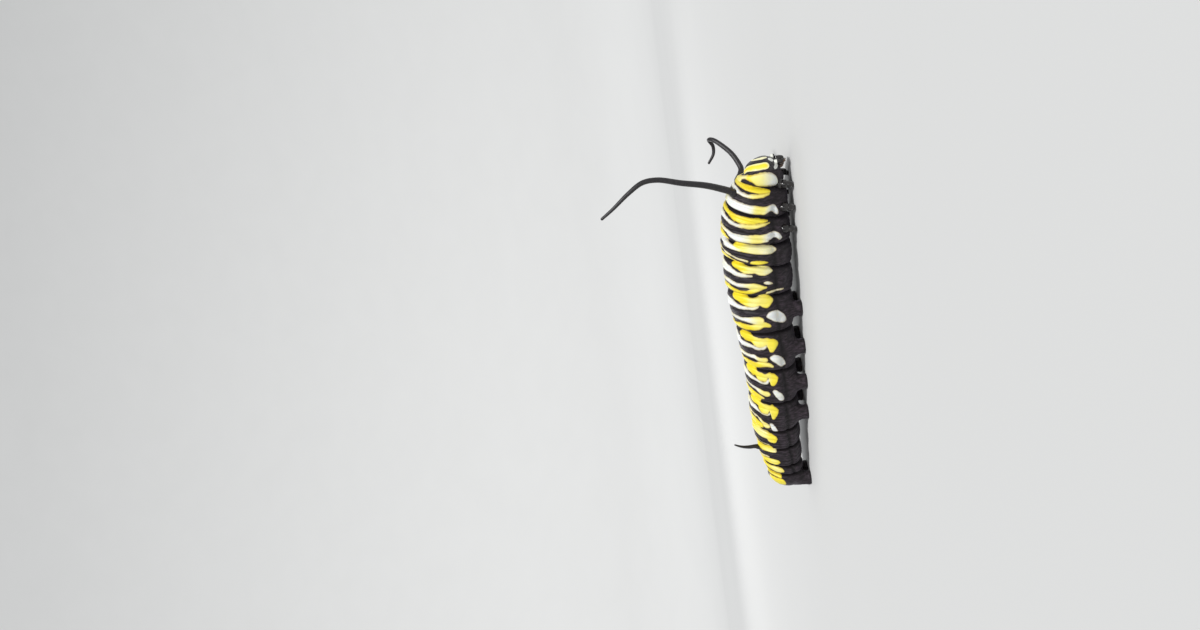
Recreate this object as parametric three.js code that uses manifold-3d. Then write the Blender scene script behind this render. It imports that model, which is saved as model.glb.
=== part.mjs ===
// Monarch larva in its last stage, standing with its front end hunched and its head turned.
// Millimetres. +X runs towards the head, +Z is up, and every foot stands on z = 0.
// The origin is on the floor, under the middle of the whole larva's box.

import * as THREE from 'three';
import { mergeVertices } from 'three/addons/utils/BufferGeometryUtils.js';
import Module from 'manifold-3d';

const wasm = await Module();
wasm.setup();

// Driving dimensions

const gap = 0.3;             // left between two pieces that touch
const neckX = 17.15;         // the fold between the head and the first segment
const bodyY = -1.62;         // the body's middle line
const swayDepth = 0.5;       // how far the body swings to each side of that line
const swayLength = 26;       // one full swing, from side to side and back
const neckTurn = 20;         // the head and its fold are turned to the left, in degrees
const bulge = 0.24;          // how far a segment swells between its two folds
const bulgeShape = 0.6;      // below 1 the swelling is fuller near the folds
const trunkSides = 26;       // faces round the trunk
const ringSpacing = 0.55;    // between the rings of the trunk

// One row for each segment, from the neck to the tail. The sizes are those of its front fold:
// top and belly are heights over the floor, and lean tips the fold's upper edge forward, in degrees.
const segments = [
  { name: 'thorax_1', length: 1.02, top: 4.5, belly: 1.35, width: 3.5, lean: -8 },
  { name: 'thorax_2', length: 2.63, top: 5.05, belly: 0.75, width: 4.35, lean: 9 },
  { name: 'thorax_3', length: 3.0, top: 6.3, belly: 0.6, width: 5.8, lean: 16 },
  { name: 'abdomen_1', length: 2.3, top: 6.9, belly: 0.55, width: 6.4, lean: 8 },
  { name: 'abdomen_2', length: 3.15, top: 6.95, belly: 0.6, width: 6.5, lean: 13 },
  { name: 'abdomen_3', length: 3.85, top: 6.9, belly: 0.75, width: 6.3, lean: 6 },
  { name: 'abdomen_4', length: 4.0, top: 6.4, belly: 0.9, width: 5.9, lean: 3 },
  { name: 'abdomen_5', length: 3.85, top: 5.95, belly: 0.95, width: 5.5, lean: 9 },
  { name: 'abdomen_6', length: 3.7, top: 5.7, belly: 0.95, width: 5.2, lean: 10 },
  { name: 'abdomen_7', length: 2.6, top: 5.55, belly: 0.95, width: 5.0, lean: 6 },
  { name: 'abdomen_8', length: 2.6, top: 5.2, belly: 0.9, width: 4.6, lean: 1 },
  { name: 'abdomen_9', length: 1.2, top: 4.75, belly: 0.85, width: 4.1, lean: 5 },
  { name: 'abdomen_10', length: 2.3, top: 4.4, belly: 0.8, width: 3.8, lean: 5 },
];
const tailEnd = { top: 3.9, belly: 0.9, width: 3.2, lean: 5 };
const tailRounding = 0.25;   // where along the last segment its round end starts
const tailLast = 0.985;      // where its last ring stands

// Places on the head are given as ahead, left and up from the middle of its capsule.
const head = {
  x: 17.15, y: -1.57, z: 2.55, tilt: 8, heading: 13,     // tilt leans the crown back
  front: 1.25, back: 1.3, side: 1.72, up: 1.85, down: 1.55,
  rows: 22, columns: 30,
};
const crownSeam = { depth: 0.2, width: 0.17 };           // down the middle, between the two crowns
const face = { top: 0.1, slope: 0.62, depth: 0.09, edge: 0.14 };   // the sunk triangle above the lip
const cheek = { height: -0.25, spread: 0.35, depth: 0.1 };
const eyes = { count: 6, radius: 0.09, ring: 0.2, ahead: 0.2, up: -0.42, from: -70, sweep: 250 };

// Blocks at the mouth: ahead, left and up are the block's middle, and taper narrows its lower end.
const labrum = { ahead: 0.98, left: 0, up: -1.08, width: 1.2, depth: 0.42, height: 0.45, taper: 0.15 };
const labrumNotch = { ahead: 1.1, left: 0, up: -1.35, width: 0.2, depth: 0.9, height: 0.3, taper: -0.4 };
const labium = { ahead: -0.1, left: 0, up: -1.62, width: 1.0, depth: 0.45, height: 0.6, taper: 0.3 };
const mandible = { ahead: 0.62, left: 0.42, up: -1.8, width: 0.62, depth: 0.62, height: 0.72, taper: 0.3 };
const blockSides = 12;

const antenna = {
  root: [0.42, 0.98, -1.2],
  bends: [[-0.1, -0.4, 0.4], [0, 0, 0], [-0.02, 0.07, -0.4], [0.12, 0.06, -0.85]],
  radii: [0.27, 0.27, 0.24, 0.12],
};

// Jointed legs: the root's place, and how far the claw stands behind it.
const legs = {
  leg_1: { x: 16.05, out: 1.42, hip: 1.2, step: -0.35 },
  leg_2: { x: 13.9, out: 1.95, hip: 1.5, step: -0.32 },
  leg_3: { x: 11.7, out: 2.2, hip: 1.65, step: -0.4 },
};
// From the root to the claw: share of the step, share of the hip's height, and reach to the side.
const legBends = [
  { step: 0, height: 1.3, reach: -0.3 },
  { step: 0, height: 0.82, reach: 0.08 },
  { step: 0.15, height: 0.45, reach: 0.16 },
  { step: 0.55, height: 0.15, reach: 0.1 },
  { step: 1, height: -0.2, reach: -0.05 },
];
const legRadii = [0.56, 0.48, 0.38, 0.28, 0.13];

// Fleshy feet: where each pair stands, and the rings from the root to the flat sole.
const feet = {
  abdomen_3: { name: 'proleg_3', along: 0.55, out: 1.6 },
  abdomen_4: { name: 'proleg_4', along: 0.55, out: 1.6 },
  abdomen_5: { name: 'proleg_5', along: 0.55, out: 1.6 },
  abdomen_6: { name: 'proleg_6', along: 0.55, out: 1.6 },
  abdomen_10: { name: 'anal_proleg', along: 0.5, out: 1.1 },
};
const footRings = [
  { height: 1.8, radius: 1.2, inward: 0.3 },
  { height: 1.1, radius: 1.1, inward: 0.1 },
  { height: 0.55, radius: 0.8, inward: 0 },
  { height: 0.18, radius: 0.86, inward: 0 },
  { height: 0, radius: 0.77, inward: 0 },
];
const footSides = 14;
const footSquash = 0.86;     // its width across the body, as a share of its length

// Filaments: the places that each one passes, as x, y and z from its root on the trunk.
const frontRoot = { segment: 'thorax_2', along: 0.42, round: 37 };
const rearRoot = { segment: 'abdomen_8', along: 0.28, round: 24 };
const rootTwist = 13;        // both pairs are turned about the body to the left, in degrees
const rootDepth = 0.9;       // how deep a filament starts under the skin
const filamentSides = 8;
const filamentStep = 0.6;
const filaments = {
  front_right: {
    root: frontRoot, side: -1, lengths: 3, radii: [0.36, 0.29, 0.24, 0.14],
    bends: [[0.37, -0.22, 0.43], [0.83, -0.47, 1.31], [1.45, -0.92, 2.66], [2.19, -1.59, 4.91], [2.93, -2.09, 7.08],
      [2.93, -2.39, 8.48], [2.13, -2.59, 9.89], [0.92, -2.69, 11.45], [0.1, -2.69, 12.61]],
  },
  front_left: {
    root: frontRoot, side: 1, lengths: 3, radii: [0.3, 0.27, 0.23, 0.13],
    bends: [[0.19, 0.68, -0.29], [0.81, 1.22, -0.63], [1.45, 1.62, -0.33], [2.26, 2.22, 0.17], [3.03, 2.92, 0.98],
      [3.54, 3.68, 1.79], [3.44, 4.23, 2.14], [2.74, 4.38, 1.79], [1.94, 4.32, 1.82], [1.12, 4.12, 2.36]],
  },
  rear_right: {
    root: rearRoot, side: -1, lengths: 1, radii: [0.26, 0.22, 0.1],
    bends: [[0.16, -0.12, 0.39], [0.29, -0.32, 1.11], [0.52, -0.52, 1.77], [0.82, -0.72, 2.25], [1.1, -0.87, 2.62]],
  },
  rear_left: {
    root: rearRoot, side: 1, lengths: 1, radii: [0.26, 0.22, 0.1],
    bends: [[0.1, 0.6, 0.1], [0.2, 1.3, 0.08], [0.28, 2.0, 0.12], [0.3, 2.6, 0.32]],
  },
};

// Colours

const colours = {
  skin: { color: 0xe6c832, roughness: 0.55, metalness: 0 },
  velvet: { color: 0x1d1820, roughness: 0.7, metalness: 0 },
  shell: { color: 0x14110f, roughness: 0.3, metalness: 0 },
};

// Solids: joining and cutting

function toSolid(geometry) {
  const bare = geometry.clone();
  bare.deleteAttribute('normal');
  bare.deleteAttribute('uv');
  const merged = mergeVertices(bare, 1e-5);
  return new wasm.Manifold(new wasm.Mesh({
    numProp: 3,
    vertProperties: new Float32Array(merged.attributes.position.array),
    triVerts: new Uint32Array(merged.index.array),
  }));
}

function fromSolid(solid) {
  const mesh = solid.getMesh();
  const geometry = new THREE.BufferGeometry();
  geometry.setAttribute('position', new THREE.BufferAttribute(new Float32Array(mesh.vertProperties), 3));
  geometry.setIndex(new THREE.BufferAttribute(new Uint32Array(mesh.triVerts), 1));
  return geometry;
}

function largest(solid) {
  const pieces = solid.decompose();
  return pieces.reduce((best, piece) => (piece.volume() > best.volume() ? piece : best));
}

function cutBy(solid, cutters) {
  return largest(cutters.reduce((rest, cutter) => rest.subtract(cutter), solid));
}

// A closed body through rings of points that all have the same count, with flat ends.
function loft(rings) {
  const count = rings[0].length;
  const points = rings.flat();
  const faces = [];
  for (let r = 0; r < rings.length - 1; r += 1) {
    for (let k = 0; k < count; k += 1) {
      const next = (k + 1) % count;
      const a = r * count + k;
      const b = r * count + next;
      faces.push([a, b, b + count], [a, b + count, a + count]);
    }
  }
  for (const end of [0, rings.length - 1]) {
    const middle = new THREE.Vector3();
    rings[end].forEach((point) => middle.addScaledVector(point, 1 / count));
    points.push(middle);
    for (let k = 0; k < count; k += 1) {
      const a = end * count + k;
      const b = end * count + ((k + 1) % count);
      faces.push(end === 0 ? [points.length - 1, b, a] : [points.length - 1, a, b]);
    }
  }
  return closedGeometry(points, faces);
}

function closedGeometry(points, faces) {
  let volume = 0;
  for (const [a, b, c] of faces) {
    volume += points[a].dot(new THREE.Vector3().crossVectors(points[b], points[c]));
  }
  const outward = volume > 0 ? faces : faces.map(([a, b, c]) => [a, c, b]);
  const geometry = new THREE.BufferGeometry().setFromPoints(points);
  geometry.setIndex(outward.flat());
  return geometry;
}

// Trunk

const stations = segments.map((_, i) => segments.slice(0, i).reduce((sum, each) => sum + each.length, 0));
const folds = [...segments, tailEnd];
const foldCurve = new THREE.CatmullRomCurve3(
  folds.map((fold) => new THREE.Vector3(fold.top, fold.belly, fold.width)), false, 'catmullrom', 0.5);

function segmentIndex(name) {
  return segments.findIndex((each) => each.name === name);
}

// The middle line seen from above, and the way to the head and to the left along it.
function lineAt(station) {
  const turn = (2 * Math.PI) / swayLength;
  const slope = swayDepth * turn * Math.cos(station * turn);
  return {
    x: neckX - station,
    y: bodyY + swayDepth * Math.sin(station * turn),
    ahead: new THREE.Vector3(1, -slope, 0).normalize(),
    left: new THREE.Vector3(slope, 1, 0).normalize(),
  };
}

function endRounding(index, q) {
  if (index < segments.length - 1 || q < tailRounding) return 1;
  const t = (q - tailRounding) / (1 - tailRounding);
  return Math.sqrt(Math.max(1 - t * t, 0));
}

// A place on the trunk: q runs from 0 to 1 along a segment, and angle turns from the back to the left.
function trunkPoint(index, q, angle, grow = 0) {
  const size = foldCurve.getPoint((index + q) / segments.length);
  const swell = bulge * Math.max(Math.sin(Math.PI * q), 0) ** bulgeShape;
  const round = endRounding(index, q);
  const up = (((size.x - size.y) / 2 + swell) * round + grow) * Math.cos(angle);
  const left = ((size.z / 2 + swell) * round + grow) * Math.sin(angle);
  const lean = THREE.MathUtils.lerp(folds[index].lean, folds[index + 1].lean, q);
  const turn = index === 0 ? neckTurn * (1 - q) : 0;
  const ahead = up * Math.tan(THREE.MathUtils.degToRad(lean)) - left * Math.tan(THREE.MathUtils.degToRad(turn));
  const line = lineAt(stations[index] + q * segments[index].length);
  return new THREE.Vector3(line.x, line.y, (size.x + size.y) / 2 + up)
    .addScaledVector(line.ahead, ahead)
    .addScaledVector(line.left, left);
}

function trunkRing(index, q, grow) {
  return Array.from({ length: trunkSides }, (_, k) => trunkPoint(index, q, (2 * Math.PI * k) / trunkSides, grow));
}

// The trunk from one segment to another, grown on all sides, to cut what grows from it.
function trunkCutter(first, last) {
  const rings = [];
  for (let index = first; index <= last; index += 1) {
    const steps = Math.ceil(segments[index].length / ringSpacing);
    for (let k = index === first ? 0 : 1; k <= steps; k += 1) {
      const q = Math.min(k / steps, index === segments.length - 1 ? tailLast : 1);
      rings.push(trunkRing(index, q, gap));
    }
  }
  return toSolid(loft(rings));
}

function segmentGeometry(index) {
  const length = segments[index].length;
  const inset = gap / 2 / length;
  const end = index === segments.length - 1 ? tailLast : 1 - inset;
  const steps = Math.max(Math.round(length / ringSpacing), 3);
  const rings = [];
  for (let k = 0; k <= steps; k += 1) {
    rings.push(trunkRing(index, THREE.MathUtils.lerp(inset, end, k / steps), 0));
  }
  return loft(rings);
}

// Tapered tubes along a curve

function tubeRings(curve, from, to, radiusAt, sides, steps) {
  const frameCount = 100;
  const frames = curve.computeFrenetFrames(frameCount, false);
  const rings = [];
  for (let k = 0; k <= steps; k += 1) {
    const u = THREE.MathUtils.lerp(from, to, k / steps);
    const frame = Math.round(u * frameCount);
    const middle = curve.getPointAt(u);
    const radius = radiusAt(u);
    rings.push(Array.from({ length: sides }, (_, i) => {
      const angle = (2 * Math.PI * i) / sides;
      return middle.clone()
        .addScaledVector(frames.normals[frame], radius * Math.cos(angle))
        .addScaledVector(frames.binormals[frame], radius * Math.sin(angle));
    }));
  }
  return rings;
}

// A value that runs evenly through a list, from its first entry at 0 to its last at 1.
function through(list, u) {
  const place = THREE.MathUtils.clamp(u, 0, 1) * (list.length - 1);
  const low = Math.min(Math.floor(place), list.length - 2);
  return THREE.MathUtils.lerp(list[low], list[low + 1], place - low);
}

// Legs

// A place beside the middle line, as far out to one side as asked.
function placeBeside(station, out, z) {
  const line = lineAt(station);
  return new THREE.Vector3(line.x, line.y, z).addScaledVector(line.left, out);
}

// A jointed leg: hip, knee, shin and a claw that is cut flat where it meets the floor.
function legSolid({ x, out, hip, step }, side) {
  const curve = new THREE.CatmullRomCurve3(legBends.map((bend) => (
    placeBeside(neckX - x - step * bend.step, side * (out + bend.reach), hip * bend.height))));
  const tube = loft(tubeRings(curve, 0, 1, (u) => through(legRadii, u), 10, 9));
  return toSolid(tube).trimByPlane([0, 0, 1], 0);
}

// A fleshy foot: a cone that narrows to a shin and ends in a wider flat sole.
function footSolid(station, out, side) {
  const rings = footRings.map(({ height, radius, inward }) => {
    const middle = placeBeside(station, side * (out - inward), height);
    return Array.from({ length: footSides }, (_, k) => {
      const angle = (2 * Math.PI * k) / footSides;
      return new THREE.Vector3(Math.cos(angle) * radius, Math.sin(angle) * radius * footSquash, 0).add(middle);
    });
  });
  return toSolid(loft(rings));
}

// Filaments: each one is parted by thin cuts into its lengths.
function filamentPieces({ root, side, lengths, radii, bends }) {
  const index = segmentIndex(root.segment);
  const round = THREE.MathUtils.degToRad(side * root.round + rootTwist);
  const skin = trunkPoint(index, root.along, round);
  const inside = trunkPoint(index, root.along, round, -rootDepth);
  const curve = new THREE.CatmullRomCurve3([
    inside, skin, ...bends.map(([x, y, z]) => new THREE.Vector3(x, y, z).add(skin))]);
  const whole = curve.getLength();
  const cutter = trunkCutter(index - 1, index + 1);
  return Array.from({ length: lengths }, (_, k) => {
    const from = k === 0 ? 0 : k / lengths + gap / 2 / whole;
    const to = k === lengths - 1 ? 1 : (k + 1) / lengths - gap / 2 / whole;
    const steps = Math.max(Math.round((whole * (to - from)) / filamentStep), 5);
    const rings = tubeRings(curve, from, to, (u) => through(radii, u), filamentSides, steps);
    return k === 0 ? cutBy(toSolid(loft(rings)), [cutter]) : toSolid(loft(rings));
  });
}

// Head

// Turns a place in the head's own frame (ahead, left, up) into the larva's.
function headPlace(ahead, left, up) {
  return new THREE.Vector3(ahead, left, up)
    .applyAxisAngle(new THREE.Vector3(0, 1, 0), THREE.MathUtils.degToRad(-head.tilt))
    .applyAxisAngle(new THREE.Vector3(0, 0, 1), THREE.MathUtils.degToRad(head.heading))
    .add(new THREE.Vector3(head.x, head.y, head.z));
}

// The capsule: an egg with two round crowns, a seam between them, full cheeks and a sunk face triangle.
function capsulePoint({ x, y, z }) {
  const point = new THREE.Vector3(
    x * (x > 0 ? head.front : head.back), y * head.side, z * (z > 0 ? head.up : head.down));
  const seam = Math.exp(-((point.y / crownSeam.width) ** 2)) * THREE.MathUtils.smoothstep(z, -0.1, 0.5);
  const fullness = cheek.depth * Math.exp(-(((z - cheek.height) / cheek.spread) ** 2)) * Math.abs(y);
  const inside = (face.top - point.z) * face.slope - Math.abs(point.y);
  const sunk = x > 0 ? THREE.MathUtils.smoothstep(inside, -face.edge, face.edge) : 0;
  const shrink = (crownSeam.depth * seam) / head.up + (face.depth * sunk) / head.front;
  return point.multiplyScalar(1 - shrink + fullness);
}

function capsuleSolid() {
  const sphere = new THREE.SphereGeometry(1, head.columns, head.rows);
  sphere.deleteAttribute('normal');
  sphere.deleteAttribute('uv');
  const merged = mergeVertices(sphere, 1e-5);
  const places = merged.attributes.position;
  for (let i = 0; i < places.count; i += 1) {
    const local = capsulePoint(new THREE.Vector3().fromBufferAttribute(places, i));
    places.setXYZ(i, ...headPlace(...local.toArray()).toArray());
  }
  return toSolid(merged);
}

// Simple eyes: low domes on each cheek, in an open ring.
function eyeSolids(side) {
  return Array.from({ length: eyes.count }, (_, k) => {
    const angle = THREE.MathUtils.degToRad(eyes.from + (eyes.sweep * k) / (eyes.count - 1));
    const up = eyes.up + (eyes.ring * Math.sin(angle)) / head.down;
    const ahead = eyes.ahead + (eyes.ring * Math.cos(angle)) / head.front;
    const across = Math.sqrt(1 - up * up - ahead * ahead);
    const local = capsulePoint(new THREE.Vector3(ahead, side * across, up));
    const dome = new THREE.IcosahedronGeometry(eyes.radius, 1);
    dome.translate(...headPlace(...local.toArray()).toArray());
    return toSolid(dome);
  });
}

// A rounded block at the mouth.
function blockSolid({ ahead, left, up, width, depth, height, taper }) {
  const rings = [0, 0.5, 1].map((t) => {
    const size = 1 - taper * t * t;
    return Array.from({ length: blockSides }, (_, k) => {
      const angle = (2 * Math.PI * k) / blockSides;
      const forward = (Math.cos(angle) * depth * size) / 2;
      const across = (Math.sin(angle) * width * size) / 2;
      return headPlace(ahead + forward, left + across, up + height * (0.5 - t));
    });
  });
  return toSolid(loft(rings));
}

function headSolid() {
  const upperLip = blockSolid(labrum).subtract(blockSolid(labrumNotch));
  const parts = [upperLip, blockSolid(labium), ...eyeSolids(-1), ...eyeSolids(1)];
  const whole = parts.reduce((sum, part) => sum.add(part), capsuleSolid());
  return cutBy(whole, [trunkCutter(0, 0)]);
}

// What the head's own parts are cut by: the same capsule, larger by the gap.
function headCutter() {
  const middle = headPlace(0, 0, 0);
  const factor = 1 + gap / ((head.side + head.front) / 2);
  return capsuleSolid().translate(middle.clone().negate().toArray()).scale(factor).translate(middle.toArray());
}

function mandibleSolid(side, cutter) {
  return cutBy(blockSolid({ ...mandible, left: side * mandible.left }), [cutter]);
}

function antennaSolid(side, cutter) {
  const [rootAhead, rootLeft, rootUp] = antenna.root;
  const curve = new THREE.CatmullRomCurve3(antenna.bends.map(([ahead, out, up]) => (
    headPlace(rootAhead + ahead, side * (rootLeft + out), rootUp + up))));
  return cutBy(toSolid(loft(tubeRings(curve, 0, 1, (u) => through(antenna.radii, u), 8, 6))), [cutter]);
}

// The larva

const larva = new THREE.Group();

function addPiece(name, geometry, colour) {
  const mesh = new THREE.Mesh(geometry, new THREE.MeshStandardMaterial(colours[colour]));
  mesh.name = name;
  larva.add(mesh);
}

const sideNames = [['right', -1], ['left', 1]];

segments.forEach((segment, index) => addPiece(segment.name, segmentGeometry(index), 'skin'));

addPiece('head', fromSolid(headSolid()), 'shell');
const faceCutter = headCutter();
for (const [sideName, side] of sideNames) {
  addPiece(`mandible_${sideName}`, fromSolid(mandibleSolid(side, faceCutter)), 'shell');
  addPiece(`antenna_${sideName}`, fromSolid(antennaSolid(side, faceCutter)), 'shell');
}

Object.entries(legs).forEach(([name, leg], index) => {
  const cutter = trunkCutter(Math.max(index - 1, 0), index + 1);
  for (const [sideName, side] of sideNames) {
    addPiece(`${name}_${sideName}`, fromSolid(cutBy(legSolid(leg, side), [cutter])), 'shell');
  }
});

for (const [segment, { name, along, out }] of Object.entries(feet)) {
  const index = segmentIndex(segment);
  const station = stations[index] + along * segments[index].length;
  const cutter = trunkCutter(index - 1, Math.min(index + 1, segments.length - 1));
  for (const [sideName, side] of sideNames) {
    addPiece(`${name}_${sideName}`, fromSolid(cutBy(footSolid(station, out, side), [cutter])), 'velvet');
  }
}

for (const [name, shape] of Object.entries(filaments)) {
  const pieces = filamentPieces(shape);
  const endings = pieces.length > 1 ? ['_base', '_middle', '_tip'] : [''];
  pieces.forEach((solid, k) => addPiece(`filament_${name}${endings[k]}`, fromSolid(solid), 'velvet'));
}

export default larva;
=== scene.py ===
import math

import bmesh
import bpy
import numpy as np
from mathutils import Matrix, Quaternion, Vector, noise


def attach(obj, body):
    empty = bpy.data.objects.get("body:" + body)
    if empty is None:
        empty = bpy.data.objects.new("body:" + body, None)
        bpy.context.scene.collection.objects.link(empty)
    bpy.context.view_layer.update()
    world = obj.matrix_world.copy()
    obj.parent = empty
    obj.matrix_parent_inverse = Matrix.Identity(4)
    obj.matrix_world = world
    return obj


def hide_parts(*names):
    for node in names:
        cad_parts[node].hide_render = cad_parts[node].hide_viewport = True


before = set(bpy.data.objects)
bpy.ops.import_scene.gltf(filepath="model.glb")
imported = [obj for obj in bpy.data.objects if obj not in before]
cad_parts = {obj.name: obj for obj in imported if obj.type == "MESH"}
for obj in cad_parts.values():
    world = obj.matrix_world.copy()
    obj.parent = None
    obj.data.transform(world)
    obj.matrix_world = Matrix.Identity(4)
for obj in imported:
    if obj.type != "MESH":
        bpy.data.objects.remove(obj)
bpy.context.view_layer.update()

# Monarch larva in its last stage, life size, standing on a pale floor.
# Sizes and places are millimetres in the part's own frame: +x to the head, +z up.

mm = 0.001
deg = math.pi / 180
sides = {'right': -1, 'left': 1}


# Numbers and curves

def blend(low, high, value):  # 0 below low, 1 above high, eased between
    t = np.clip((value - low) / (high - low), 0, 1)
    return t * t * (3 - 2 * t)


def hump(distance, width):
    return np.exp(-(distance / width) ** 2)


def hermite(start, end, leave, arrive, t):  # from start to end, with these slopes at them
    return (start * (1 + 2 * t) * (1 - t) ** 2 + end * t * t * (3 - 2 * t)
            + t * (1 - t) * (leave * (1 - t) - arrive * t))


def through(knots, values, x):  # smooth curve through values at knots
    knots, values = np.asarray(knots, float), np.asarray(values, float)
    slopes = np.gradient(values, knots)
    low = np.clip(np.searchsorted(knots, x) - 1, 0, len(knots) - 2)
    width = knots[low + 1] - knots[low]
    t = np.clip((x - knots[low]) / width, 0, 1)
    return hermite(values[low], values[low + 1], width * slopes[low], width * slopes[low + 1], t)


def catmullRom(rows, place):  # rows of values, read at a fractional row number
    rows = np.asarray(rows, float)
    padded = np.vstack([2 * rows[0] - rows[1], rows, 2 * rows[-1] - rows[-2]])
    low = np.clip(np.floor(place).astype(int), 0, len(rows) - 2)
    t = (place - low)[..., None]
    a, b, c, d = (padded[low + k] for k in range(4))
    return b + t / 2 * (c - a + t * (2 * a - 5 * b + 4 * c - d + t * (3 * (b - c) + d - a)))


def smoothPath(points, perSpan=14):  # dense points on a curve through a few
    points = np.asarray(points, float)
    padded = np.vstack([2 * points[0] - points[1], points, 2 * points[-1] - points[-2]])
    t = np.linspace(0, 1, perSpan, endpoint=False)[:, None]
    dense = []
    for k in range(len(points) - 1):
        a, b, c, d = padded[k:k + 4]
        before, here, after = (np.linalg.norm(v) ** 0.5 for v in (b - a, c - b, d - c))
        leave = ((b - a) / before - (c - a) / (before + here) + (c - b) / here) * here
        arrive = ((c - b) / here - (d - b) / (here + after) + (d - c) / after) * here
        dense.append(hermite(b, c, leave, arrive, t))
    return np.vstack([*dense, points[-1:]])


def shareAlong(path):  # each point's share of the path's length
    steps = np.linalg.norm(np.diff(path, axis=0), axis=1)
    run = np.concatenate([[0], np.cumsum(steps)])
    return run / run[-1]


def spread(values, share):  # values spaced evenly over a length, read at a share of it
    return np.interp(share, np.linspace(0, 1, len(values)), values)


def turnsOf(count):  # angles, evenly round a circle
    return np.arange(count) * 2 * math.pi / count


def direction(vectors):
    return vectors / np.linalg.norm(vectors, axis=-1, keepdims=True)


def unevenness(points, size):  # soft noise in -1 to 1, patches of about size mm
    return np.array([noise.noise(Vector(p) / size) for p in points.tolist()])


# Shader nodes

class Value:  # a node's output that takes Python's operators
    def __init__(self, finish, socket):
        self.finish, self.socket = finish, socket

    def __add__(self, other):
        return self.finish.maths('ADD', self, other)

    def __sub__(self, other):
        return self.finish.maths('SUBTRACT', self, other)

    def __rsub__(self, other):
        return self.finish.maths('SUBTRACT', other, self)

    def __mul__(self, other):
        return self.finish.maths('MULTIPLY', self, other)

    __radd__ = __add__
    __rmul__ = __mul__


class Finish:  # one material and the nodes in it
    def __init__(self, name):
        self.material = bpy.data.materials.new(name)
        self.material.use_nodes = True
        self.nodes = self.material.node_tree.nodes
        self.links = self.material.node_tree.links
        self.nodes.clear()

    def add(self, kind, settings=None, sockets=None, output=0):
        node = self.nodes.new('ShaderNode' + kind)
        for key, value in (settings or {}).items():
            if key == 'stops':
                ramp = node.color_ramp.elements
                while len(ramp) < len(value):
                    ramp.new(0.5)
                for stop, (position, colour) in zip(ramp, value):
                    stop.position, stop.color = position, (*colour, 1)
            else:
                setattr(node, key, value)
        for key, value in (sockets or {}).items():
            if isinstance(value, Value):
                self.links.new(value.socket, node.inputs[key])
            elif isinstance(value, tuple) and len(value) == 3 and node.inputs[key].type == 'RGBA':
                node.inputs[key].default_value = (*value, 1)
            else:
                node.inputs[key].default_value = value
        return Value(self, node.outputs[output]) if len(node.outputs) else node

    def maths(self, operation, *values):
        return self.add('Math', {'operation': operation}, dict(enumerate(values)))

    def larger(self, first, *others):
        for other in others:
            first = self.maths('MAXIMUM', first, other)
        return first

    def field(self, name):  # a value that the mesh keeps at each point
        return self.add('Attribute', {'attribute_name': name}, output='Fac')

    def step(self, value, low, high):  # eased from 0 at low to 1 at high
        return self.add('MapRange', {'interpolation_type': 'SMOOTHSTEP'},
                        {'Value': value, 'From Min': low, 'From Max': high})

    def place(self, stretch=(1, 1, 1)):  # object coordinates in millimetres
        here = self.add('TexCoord', output='Object')
        return self.add('VectorMath', {'operation': 'MULTIPLY'},
                        {0: here, 1: tuple(1000 * s for s in stretch)})

    def speckle(self, where, scale, detail=2.0, roughness=0.5):
        return self.add('TexNoise', None, {'Vector': where, 'Scale': scale, 'Detail': detail,
                                           'Roughness': roughness}, 'Fac')

    def mix(self, first, second, share):  # colours
        return self.add('Mix', {'data_type': 'RGBA'}, {0: share, 6: first, 7: second}, 2)

    def bump(self, height, strength, distance):
        return self.add('Bump', None, {'Height': height, 'Strength': strength,
                                       'Distance': distance * mm}, 'Normal')

    def surface(self, sockets):
        return self.add('BsdfPrincipled', None, sockets, 'BSDF')

    def finished(self, shader):
        self.add('OutputMaterial', None, {'Surface': shader})
        return self.material


# Meshes

def addMesh(name, body, material):  # a body is its points and its faces
    points, faces = body
    mesh = bpy.data.meshes.new(name)
    mesh.from_pydata((points * mm).tolist(), [], faces)
    mesh.update()
    mesh.polygons.foreach_set('use_smooth', np.ones(len(mesh.polygons), bool))
    mesh.materials.append(material)
    added = bpy.data.objects.new(name, mesh)
    bpy.context.scene.collection.objects.link(added)
    return added


def makePiece(name, body, material, fields=None, replaces=()):
    piece = addMesh(name, body, material)
    for key, values in (fields or {}).items():   # what the materials read at each point
        field = piece.data.attributes.new(key, 'FLOAT', 'POINT').data
        field.foreach_set('value', np.broadcast_to(values, len(field)).astype(np.float32))
    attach(piece, "root")
    if replaces:
        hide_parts(*replaces)
    return piece


def gridFaces(rows, columns):  # a sleeve of rows, open at its ends
    faces = []
    for r in range(rows - 1):
        low, high = r * columns, (r + 1) * columns
        faces += [(low + k, low + (k + 1) % columns, high + (k + 1) % columns, high + k)
                  for k in range(columns)]
    return faces


def sleeve(rings):  # a closed body through rings of points
    rings = np.asarray(rings)
    rows, columns, _ = rings.shape
    points = np.vstack([rings.reshape(-1, 3), rings[0].mean(0), rings[-1].mean(0)])
    faces = gridFaces(rows, columns)
    last, end = rows * columns, (rows - 1) * columns
    faces += [(last, (k + 1) % columns, k) for k in range(columns)]
    faces += [(last + 1, end + k, end + (k + 1) % columns) for k in range(columns)]
    return outward(points, faces)


def tubeRings(path, radii, around):  # rings that turn as little as they can
    ways = direction(np.gradient(path, axis=0))
    across = np.cross(ways[0], (0.3, 0.1, 1.0))      # any direction that no tube starts in
    turns = turnsOf(around)[:, None]
    rings = []
    for middle, way, radius in zip(path, ways, radii):
        across = direction(across - way * across.dot(way))
        rings.append(middle + radius * (np.cos(turns) * across + np.sin(turns) * np.cross(way, across)))
    return np.array(rings)


def alongSleeve(values, around):  # a value for each ring, as one for each of its points
    return np.concatenate([np.repeat(values, around), [values[0], values[-1]]])


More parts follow.
